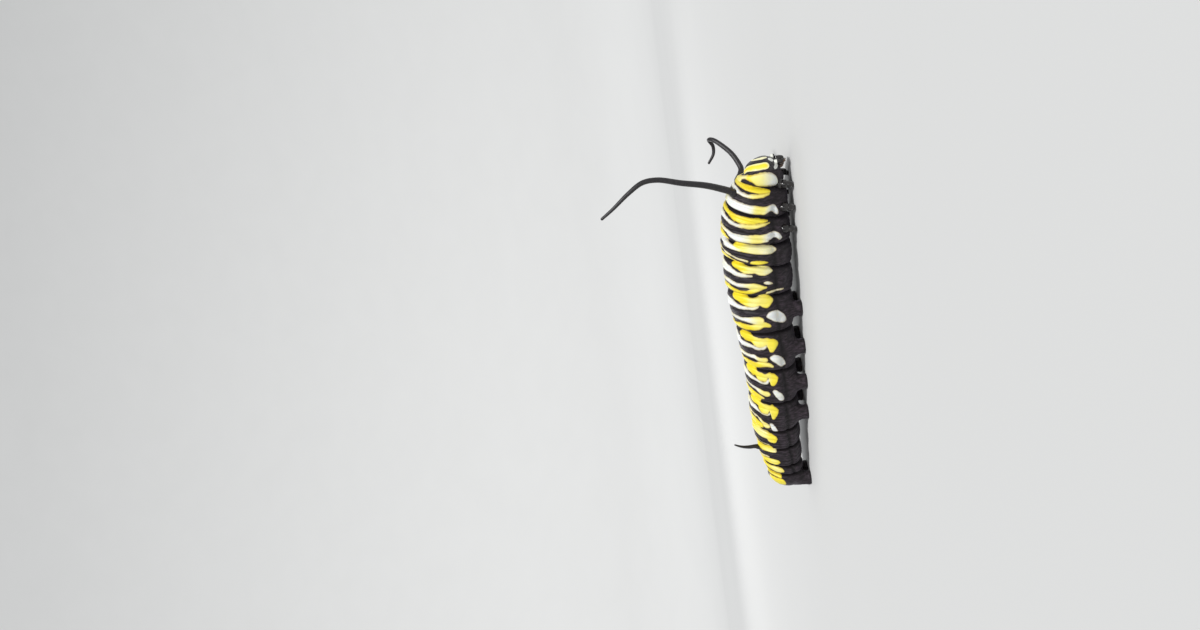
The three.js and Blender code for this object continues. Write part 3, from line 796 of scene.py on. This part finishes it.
def velvetFinish():
    m = Finish('blackVelvet')
    here = m.place()
    wrinkles = m.speckle(here, 6, 4, 0.6)
    dark = m.mix(*partColours['velvet'], m.step(wrinkles, 0.35, 0.75))
    return m.finished(m.surface({
        'Base Color': dark, 'Roughness': 0.38 + 0.2 * m.speckle(here, 14), 'Sheen Weight': 0.12,
        'Sheen Roughness': 0.4, 'Normal': m.bump(wrinkles, 0.4, 0.04)}))


def shellFinish():  # black, or brown or pale where the mesh asks for it
    m = Finish('glossyShell')
    here = m.place()
    cloudy = m.speckle(here, 3, 4)
    dark = m.mix(*partColours['shell'], m.step(cloudy, 0.4, 0.75))
    brown = m.mix(*partColours['brown'], m.step(cloudy, 0.4, 0.75))
    colour = m.mix(dark, brown, m.step(m.field('brown') + (cloudy - 0.5) * 0.4, 0.3, 0.7))
    colour = m.mix(colour, partColours['pale'], m.step(m.field('pale') + (cloudy - 0.5) * 0.2, 0.45, 0.55))
    return m.finished(m.surface({
        'Base Color': colour, 'Roughness': 0.16 + 0.14 * cloudy, 'Coat Weight': 0.4,
        'Coat Roughness': 0.08, 'Normal': m.bump(m.speckle(here, 12, 3), 0.12, 0.03)}))


blackVelvet = velvetFinish()
glossyShell = shellFinish()


# Filaments: each one passes these places, from its root on the skin
filaments = {
    'front_right': {
        'root': 'front', 'side': 'right', 'radii': (0.36, 0.29, 0.24, 0.14),
        'bends': [(0.37, -0.22, 0.43), (0.83, -0.47, 1.31), (1.45, -0.92, 2.66), (2.19, -1.59, 4.91),
                  (2.93, -2.09, 7.08), (2.93, -2.39, 8.48), (2.13, -2.59, 9.89), (0.92, -2.69, 11.45),
                  (0.1, -2.69, 12.61)],
    },
    'front_left': {
        'root': 'front', 'side': 'left', 'radii': (0.3, 0.27, 0.23, 0.13),
        'bends': [(0.18, 0.38, -0.08), (0.45, 0.82, -0.36), (0.88, 1.26, -0.54), (1.45, 1.66, -0.33),
                  (2.26, 2.22, 0.17), (3.03, 2.92, 0.98), (3.54, 3.68, 1.79), (3.44, 4.23, 2.14),
                  (2.74, 4.38, 1.79), (1.94, 4.32, 1.82), (1.12, 4.12, 2.36)],
    },
    'rear_right': {
        'root': 'rear', 'side': 'right', 'radii': (0.26, 0.2, 0.08),
        'bends': [(0.16, -0.12, 0.39), (0.29, -0.32, 1.11), (0.52, -0.52, 1.77), (0.82, -0.72, 2.25),
                  (1.1, -0.87, 2.62)],
    },
    'rear_left': {
        'root': 'rear', 'side': 'left', 'radii': (0.26, 0.2, 0.08),
        'bends': [(0.1, 0.6, 0.1), (0.2, 1.3, 0.08), (0.28, 2.0, 0.12), (0.3, 2.6, 0.32)],
    },
}
filamentForm = {
    'depth': 0.9,             # how deep each one starts under the skin
    'flare': 0.07, 'flareReach': 0.35,           # how much wider it is near its root
    'around': 28,
}


def buildFilament(name, shape):
    index, share, turned = filamentRoots[shape['root']]
    angle = (sides[shape['side']] * turned + rootTwist) * deg
    root = skinPoint(index + share, angle)
    bends = np.array(shape['bends'])
    inward = skinPoint(index + share, angle, -filamentForm['depth']) - root
    backward = -direction(bends[0]) * filamentForm['depth']
    path = smoothPath([root + (inward + backward) / 2, root, *(root + bends)])
    radii = spread(shape['radii'], shareAlong(path))
    away = np.linalg.norm(path - root, axis=1)
    path, radii = roundEnd(path, radii + filamentForm['flare'] * hump(away, filamentForm['flareReach']))
    endings = ('_base', '_middle', '_tip') if shape['root'] == 'front' else ('',)
    makePiece(f'filament_{name}', sleeve(tubeRings(path, radii, filamentForm['around'])), blackVelvet,
              replaces=[f'filament_{name}{ending}' for ending in endings])


for name, shape in filaments.items():
    buildFilament(name, shape)
print('filaments built')


# Breathing holes: one on each side of these segments, an oval with a raised rim
holes = {
    'segments': (0, 3, 4, 5, 6, 7, 8, 9, 10), 'along': 0.48, 'angle': 97,
    'tall': 0.19, 'wide': 0.11, 'around': 24,
    'profile': ((1.25, -0.06), (1.15, 0.03), (1, 0.06), (0.8, 0.045), (0.6, 0.025), (0.2, 0.02)),
    'brown': (0.0, 0.35, 0.5, 0.2, 0.0, 0.0),    # at each place in the profile, of (size, height)
}


def buildHoles(side, sideName):
    turns = turnsOf(holes['around'])[:, None]
    step = 0.05                                  # to the points that give the ways along the skin
    bodies = []
    for segment in holes['segments']:
        places = segment + holes['along'] + np.array([0, -step, 0])
        middle, ahead, around = skinPoint(places, side * holes['angle'] * deg + np.array([0, 0, step]))
        ahead, around = direction(ahead - middle), direction(around - middle)
        out = np.cross(ahead, around) * side
        oval = np.cos(turns) * ahead * holes['wide'] + np.sin(turns) * around * holes['tall']
        bodies.append(sleeve([middle + oval * share + out * (height + relief['wrinkle'])
                              for share, height in holes['profile']]))
    brown = np.tile(alongSleeve(holes['brown'], holes['around']), len(bodies))
    makePiece(f'breathing_holes_{sideName}', joined(bodies), glossyShell, {'brown': brown})


# Hooks: a row of small brown ones along the inner edge of each fleshy foot's sole
hooks = {
    'turns': (-75, 75, 17),   # from, to, how many
    'inside': 0.86,           # of the sole's edge
    'length': 0.13, 'lean': 0.08, 'above': 0.2,      # how far outwards, and how high its tip ends
    'radius': 0.028, 'tip': 0.3, 'rings': 4, 'around': 8,
    'brown': 0.9,
}


def buildHooks(side, sideName):
    shares = np.linspace(0, 1, hooks['rings'])[:, None]
    radii = hooks['radius'] * np.linspace(1, hooks['tip'], hooks['rings'])
    bodies = []
    for foot in feet.values():
        _, ahead, left = middleLine(stationIn(foot['segment'], foot['along']))
        for turn in np.linspace(*hooks['turns']) * deg:
            way = ahead * math.sin(turn) - left * side * math.cos(turn) * footForm['squash']
            root = footAxis(foot, side) + way * footForm['edge'] * hooks['inside'] + (0, 0, hooks['length'])
            path = root + shares * (way * hooks['lean'] - (0, 0, hooks['length'] * (1 - hooks['above'])))
            bodies.append(sleeve(tubeRings(path, radii, hooks['around'])))
    makePiece(f'hooks_{sideName}', joined(bodies), glossyShell, {'brown': hooks['brown']})


for sideName, side in sides.items():
    buildHoles(side, sideName)
    buildHooks(side, sideName)
print('breathing holes and hooks built')


# Jointed legs: how far each hip is ahead of the middle, out and up, and how far ahead its claw is
legs = {
    'leg_1': {'x': 16.05, 'out': 1.42, 'hip': 1.2, 'step': -0.35},
    'leg_2': {'x': 13.9, 'out': 1.95, 'hip': 1.5, 'step': -0.32},
    'leg_3': {'x': 11.7, 'out': 2.2, 'hip': 1.65, 'step': -0.4},
}
legForm = {                   # bends: shares of the step and of the hip's height, and how far out
    'bends': ((0, 1.3, -0.3), (0, 0.82, 0.08), (0.15, 0.45, 0.16), (0.55, 0.15, 0.1), (1, -0.2, -0.05)),
    'radii': (0.56, 0.48, 0.38, 0.28, 0.13),
    'joints': (0.3, 0.52, 0.74), 'jointDepth': 0.16, 'jointWidth': 0.035,
    'swell': 0.06, 'swellAhead': 0.07, 'swellWidth': 0.05,     # the rim of each joint
    'claw': (0.8, 0.95),      # the stretch in which black turns to brown
    'ringsPerBend': 24, 'around': 32,
}


def buildLeg(name, leg, side, sideName):
    station = trunk['neck'] - leg['x']
    points = []
    for step, height, reach in legForm['bends']:
        middle, _, left = middleLine(station - leg['step'] * step)
        points.append(middle + left * side * (leg['out'] + reach) + (0, 0, leg['hip'] * height))
    path = smoothPath(points, legForm['ringsPerBend'])
    share = shareAlong(path)
    radii = spread(legForm['radii'], share)
    for joint in legForm['joints']:
        groove = legForm['jointDepth'] * hump(share - joint, legForm['jointWidth'])
        rim = legForm['swell'] * hump(share - joint + legForm['swellAhead'], legForm['swellWidth'])
        radii = radii * (1 - groove + rim)
    rings = tubeRings(path, radii, legForm['around'])
    rings[..., 2] = np.maximum(rings[..., 2], 0)
    brown = alongSleeve(blend(*legForm['claw'], share), legForm['around'])
    fullName = f'{name}_{sideName}'
    makePiece(fullName, sleeve(rings), glossyShell, {'brown': brown}, [fullName])


for name, leg in legs.items():
    for sideName, side in sides.items():
        buildLeg(name, leg, side, sideName)
print('legs built')


# Head: places on it are ahead, left and up from the middle of its capsule
head = {
    'place': (17.15, -1.57, 2.55), 'tilt': 8, 'heading': 13,
    'front': 1.25, 'back': 1.3, 'side': 1.72, 'up': 1.85, 'down': 1.55,
    'seamDepth': 0.2, 'seamWidth': 0.17, 'seamFrom': (-0.1, 0.5),              # down the middle, on top
    'faceTop': 0.1, 'faceSlope': 0.62, 'faceDepth': 0.09, 'faceEdge': 0.14,    # a sunk triangle
    'faceFrom': (0.1, 0.4),
    'frame': 0.2, 'grooveDepth': 0.025, 'grooveWidth': 0.045,                  # its narrow frame
    'cheekHeight': -0.25, 'cheekSpread': 0.35, 'cheek': 0.1,
    'detail': 7,
}
headTurn = Matrix.Rotation(head['heading'] * deg, 3, 'Z') @ Matrix.Rotation(-head['tilt'] * deg, 3, 'Y')


def headPlace(local):
    return np.asarray(local) @ np.array(headTurn).T + np.array(head['place'])


def capsule(unit):  # a point of a unit ball, on the head's capsule
    x, y, z = unit.T
    point = np.stack([x * np.where(x > 0, head['front'], head['back']), y * head['side'],
                      z * np.where(z > 0, head['up'], head['down'])], -1)
    seam = hump(point[:, 1], head['seamWidth']) * blend(*head['seamFrom'], z)
    fullness = head['cheek'] * hump(z - head['cheekHeight'], head['cheekSpread']) * np.abs(y)
    inside = (head['faceTop'] - point[:, 2]) * head['faceSlope'] - np.abs(point[:, 1])
    ahead = blend(*head['faceFrom'], x)
    sunk = ahead * blend(-head['faceEdge'], head['faceEdge'], inside)
    groove = ahead * sum(hump(inside + line, head['grooveWidth']) for line in (0, head['frame']))
    shrink = (head['seamDepth'] * seam / head['up'] + head['faceDepth'] * sunk / head['front']
              + head['grooveDepth'] * groove)
    return point * (1 - shrink + fullness)[:, None]


def ball(detail):
    mesh = bmesh.new()
    bmesh.ops.create_icosphere(mesh, subdivisions=detail, radius=1)
    points = np.array([v.co[:] for v in mesh.verts])
    faces = [tuple(v.index for v in f.verts) for f in mesh.faces]
    mesh.free()
    return direction(points), faces


def onBall(azimuth, elevation):  # azimuth 0 is ahead, 90 is to the side
    a, e = np.asarray(azimuth) * deg, np.asarray(elevation) * deg
    return np.stack([np.cos(e) * np.cos(a), np.cos(e) * np.sin(a), np.sin(e)], -1)


# Head markings: each stroke is rows of (azimuth, elevation, half width), in degrees
faceMarkings = {
    'yellow': [[(20, 84, 9), (48, 58, 12), (61, 38, 14), (69, 18, 15), (73, 0, 14), (75, -3, 12)]],
    'cream': [[(0, 26, 4), (16, 24, 4.5), (28, 11, 6), (33, -2, 8), (34, -11, 6)]],
    'white': [[(47, -27, 9), (50, -30, 9)], [(12, -44, 5), (22, -43, 5)],
              [(71, -44, 6), (84, -46, 9), (92, -38, 8)]],
}
faceSteps = 10                # from one row to the next


def faceFields(unit):
    mirrored = unit * (1, 0, 1) + np.abs(unit) * (0, 1, 0)
    fields = {}
    for colour, strokes in faceMarkings.items():
        field = np.full(len(unit), outside)
        for rows in strokes:
            rows = np.array(rows, float)
            path = direction(smoothPath(onBall(rows[:, 0], rows[:, 1]), faceSteps))
            wide = spread(rows[:, 2], np.linspace(0, 1, len(path)))
            for a, b, wideA, wideB in zip(path, path[1:], wide, wide[1:]):
                t = np.clip((mirrored - a) @ (b - a) / ((b - a) @ (b - a)), 0, 1)
                away = np.linalg.norm(mirrored - a - t[:, None] * (b - a), axis=1)
                field = np.maximum(field, (wideA + t * (wideB - wideA)) * deg - away)
        fields[colour] = field * head['side']
    return fields


headColours = {
    'black': ((0.006, 0.005, 0.006), (0.022, 0.018, 0.022)),
    'yellow': ((0.80, 0.75, 0.35), (0.80, 0.64, 0.02)),      # its edge and its middle
    'cream': (0.86, 0.82, 0.52),
    'white': (0.82, 0.83, 0.78),
}


def headFinish():
    m = Finish('bandedHead')
    here = m.place()
    ragged = (m.speckle(here, 4, 3) - 0.5) * 0.06
    yellow, cream, white = (m.field(key) + ragged for key in ('yellow', 'cream', 'white'))
    pale = m.step(m.larger(yellow, cream, white), -0.02, 0.02)
    core = m.step(yellow + (m.speckle(here, 2, 3) - 0.5) * 0.3, 0.02, 0.3)
    colour = m.mix(*headColours['yellow'], core)
    colour = m.mix(colour, headColours['cream'], m.step(cream - yellow, -0.05, 0.05))
    colour = m.mix(colour, headColours['white'], m.step(white - m.larger(yellow, cream), -0.03, 0.03))
    pits = m.speckle(here, 10, 3)
    dark = m.mix(*headColours['black'], m.step(pits, 0.4, 0.7))
    return m.finished(m.surface({
        'Base Color': m.mix(dark, colour, pale), 'Roughness': 0.3 + 0.25 * pits + 0.12 * pale,
        'Coat Weight': 0.35 - 0.25 * pale, 'Coat Roughness': 0.15, 'Normal': m.bump(pits, 0.3, 0.05)}))


def buildHead():
    unit, faces = ball(head['detail'])
    body = outward(headPlace(capsule(unit)), faces)
    makePiece('head', body, headFinish(), faceFields(unit), ['head'])


buildHead()

# Mouth parts: the middle of each one and its size, as ahead, left and up
mouth = {                     # those whose middle is to the left are made on both sides
    'labrum': {'middle': (0.98, 0, -1.08), 'size': (0.46, 1.2, 0.5), 'taper': 0.15, 'pale': -0.1},
    'mandible': {'middle': (0.6, 0.42, -1.62), 'size': (0.68, 0.66, 0.85), 'taper': 0.3},
    'labium': {'middle': (-0.05, 0, -1.6), 'size': (0.5, 0.9, 0.6), 'taper': 0.3, 'brown': 0.6},
    'maxilla': {'middle': (0.12, 0.42, -1.72), 'size': (0.36, 0.34, 0.5), 'taper': 0.2, 'brown': 0.4},
}
mouthForm = {'boxy': 0.7, 'notch': 0.35, 'notchWidth': 0.14, 'paleEdge': 0.2, 'detail': 4}
palps = {                     # root, the way it points, and its radii
    'palp': {'root': (0.2, 0.42, -1.9), 'way': (0.25, 0.03, -0.3), 'radii': (0.1, 0.09, 0.06, 0.03)},
    'spinneret': {'root': (0.08, 0, -1.82), 'way': (0.16, 0, -0.38), 'radii': (0.12, 0.08, 0.05, 0.03)},
}
palpForm = {'rings': 13, 'jointEvery': 4, 'joint': 0.8, 'around': 16, 'brown': 0.75}


def buildMouthPart(name, block, side):
    unit, faces = ball(mouthForm['detail'])
    boxy = np.sign(unit) * np.abs(unit) ** mouthForm['boxy']
    size = 1 - block['taper'] * np.clip(0.5 - boxy[:, 2:] / 2, 0, 1) ** 2
    local = boxy * np.array(block['size']) / 2 * np.hstack([size, size, np.ones_like(size)])
    fields = {'brown': block.get('brown', 0.0)}
    if name == 'labrum':
        below, edge = np.maximum(-unit[:, 2], 0), mouthForm['paleEdge']
        local[:, 2] += mouthForm['notch'] * hump(local[:, 1], mouthForm['notchWidth']) * below
        fields['pale'] = blend(block['pale'] - edge, block['pale'] + edge, unit[:, 2])
    body = outward(headPlace(local + np.array(block['middle']) * (1, side, 1)), faces)
    makePiece(name, body, glossyShell, fields, [name] if name.startswith('mandible') else ())


def buildPalp(name, palp, side):
    shares = np.linspace(0, 1, palpForm['rings'])
    root, way = (np.array(palp[key]) * (1, side, 1) for key in ('root', 'way'))
    radii = spread(palp['radii'], shares)
    radii[palpForm['jointEvery']::palpForm['jointEvery']] *= palpForm['joint']       # narrower there
    path, radii = roundEnd(headPlace(root + shares[:, None] * way), radii)
    rings = tubeRings(path, radii, palpForm['around'])
    makePiece(name, sleeve(rings), glossyShell, {'brown': palpForm['brown']})


def buildAll(build, forms, placeKey):
    for name, form in forms.items():
        paired = form[placeKey][1] > 0
        for sideName, side in sides.items() if paired else [('', 1)]:
            build(f'{name}_{sideName}' if paired else name, form, side)


buildAll(buildMouthPart, mouth, 'middle')
buildAll(buildPalp, palps, 'root')

antenna = {
    'root': (0.42, 0.98, -1.2),
    'bends': [(-0.1, -0.4, 0.4), (0, 0, 0), (-0.02, 0.07, -0.4), (0.12, 0.06, -0.85)],
    'steps': ((0, 0.24), (0.36, 0.23), (0.46, 0.19), (0.5, 0.17), (0.56, 0.185), (0.66, 0.18), (0.69, 0.14),
              (0.74, 0.15), (0.84, 0.14), (0.88, 0.06), (1, 0.03)),     # how far along, and the radius there
    'paleTo': 0.48, 'paleEdge': 0.02, 'ringsPerBend': 24, 'around': 24,
}


def buildAntenna(side, sideName):
    ahead, out, up = antenna['root']
    path = smoothPath([headPlace((ahead + a, side * (out + o), up + u)) for a, o, u in antenna['bends']],
                      antenna['ringsPerBend'])
    share = shareAlong(path)
    radii = np.interp(share, *zip(*antenna['steps']))
    path, radii = roundEnd(path, radii)
    share = np.concatenate([share, np.ones(len(path) - len(share))])
    pale = 1 - blend(-antenna['paleEdge'], antenna['paleEdge'], share - antenna['paleTo'])
    rings = tubeRings(path, radii, antenna['around'])
    fullName = f'antenna_{sideName}'
    makePiece(fullName, sleeve(rings), glossyShell, {'pale': alongSleeve(pale, antenna['around'])},
              [fullName])


eyes = {                      # on a ring about a place that is given as shares of the head
    'turns': (-70, 180, 6),   # from, to, how many
    'ring': 0.2, 'ahead': 0.2, 'up': -0.42,
    'radius': 0.085, 'sunk': 0.985, 'detail': 3,
}


def buildEyes(side, sideName):
    unit, faces = ball(eyes['detail'])
    bodies = []
    for angle in np.linspace(*eyes['turns']) * deg:
        up = eyes['up'] + eyes['ring'] * math.sin(angle) / head['down']
        ahead = eyes['ahead'] + eyes['ring'] * math.cos(angle) / head['front']
        across = math.sqrt(1 - up * up - ahead * ahead)
        middle = capsule(np.array([[ahead, side * across, up]])) * eyes['sunk']
        bodies.append((headPlace(middle + unit * eyes['radius']), faces))
    makePiece(f'eyes_{sideName}', joined(bodies), glossyShell)


for build in (buildAntenna, buildEyes):
    for sideName, side in sides.items():
        build(side, sideName)
print('head built')


# Floor, far wall and light
studio = {
    'floor': 700,             # the flat floor's radius
    'wall': (900, 1400),      # how far beyond it the wall has curved upright, and its height
    'around': 96, 'wallRings': 24,
    'sun': {'from': (0.45, -0.55, 0.8), 'strength': 2.8, 'angle': 9},
    'lights': {
        'side': {'place': (90, -360, 180), 'size': 240, 'power': 0.29},
        'rim': {'place': (-120, 170, 160), 'size': 120, 'power': 0.12},
    },
    'sky': (0.93, 0.96, 1.0), 'skyStrength': 0.38,
    'floorColour': (1, 1, 0.985), 'tone': 0.61, 'cloud': 0.02,
    'paintedFarLight': 0.11, 'far': (60, 420), 'low': (0, 110),      # painted light: the far floor is lighter, and the wall not
}


def floorFinish():
    m = Finish('paleFloor')
    here = m.place()
    apart = m.add('VectorMath', {'operation': 'LENGTH'}, {0: here}, 'Value')
    height = m.add('SeparateXYZ', None, {0: here}, 'Z')
    # painted light on the far floor, fading out before the wall rises
    far = m.step(apart, *studio['far']) * (1 - m.step(height, *studio['low']))
    tone = studio['tone'] * (1 + studio['paintedFarLight'] * far) + studio['cloud'] * m.speckle(here, 0.02, 2)
    colour = m.mix((0, 0, 0), studio['floorColour'], tone)
    return m.finished(m.surface({'Base Color': colour, 'Roughness': 0.9, 'Specular IOR Level': 0.0}))


def buildFloorAndWall():
    columns = studio['around']
    turns = turnsOf(columns)
    circle = np.stack([np.cos(turns), np.sin(turns), np.zeros(columns)], -1)
    fan = [(columns, k, (k + 1) % columns) for k in range(columns)]
    pale = floorFinish()
    floor = addMesh('floor', (np.vstack([circle * studio['floor'], [[0, 0, 0]]]), fan), pale)
    beyond, height = studio['wall']
    rings = [circle * (studio['floor'] + beyond * math.sin(rise)) + (0, 0, height * (1 - math.cos(rise)))
             for rise in np.linspace(0, 90, studio['wallRings']) * deg]
    wall = addMesh('backdrop', (np.vstack(rings), gridFaces(len(rings), columns)), pale)
    wall.visible_shadow = wall.visible_diffuse = False


def aimLamp(lamp, place):  # at the middle of the floor
    holder = bpy.data.objects.new(lamp.name, lamp)
    holder.location = place
    holder.rotation_mode = 'QUATERNION'
    holder.rotation_quaternion = (-place).to_track_quat('-Z', 'Y')
    bpy.context.scene.collection.objects.link(holder)


def addLamps():
    sun = bpy.data.lights.new('sun', 'SUN')
    sun.energy, sun.angle = studio['sun']['strength'], studio['sun']['angle'] * deg
    aimLamp(sun, Vector(studio['sun']['from']))
    for name, light in studio['lights'].items():
        lamp = bpy.data.lights.new(name, 'AREA')
        lamp.shape, lamp.size, lamp.energy = 'DISK', light['size'] * mm, light['power']
        aimLamp(lamp, Vector(light['place']) * mm)


def setSky():
    world = bpy.data.worlds.new('studio')
    world.use_nodes = True
    light = world.node_tree.nodes['Background'].inputs
    light['Color'].default_value = (*studio['sky'], 1)
    light['Strength'].default_value = studio['skyStrength']
    bpy.context.scene.world = world
    bpy.context.scene.view_settings.view_transform = 'Standard'


buildFloorAndWall()
addLamps()
setSky()
print('studio built')
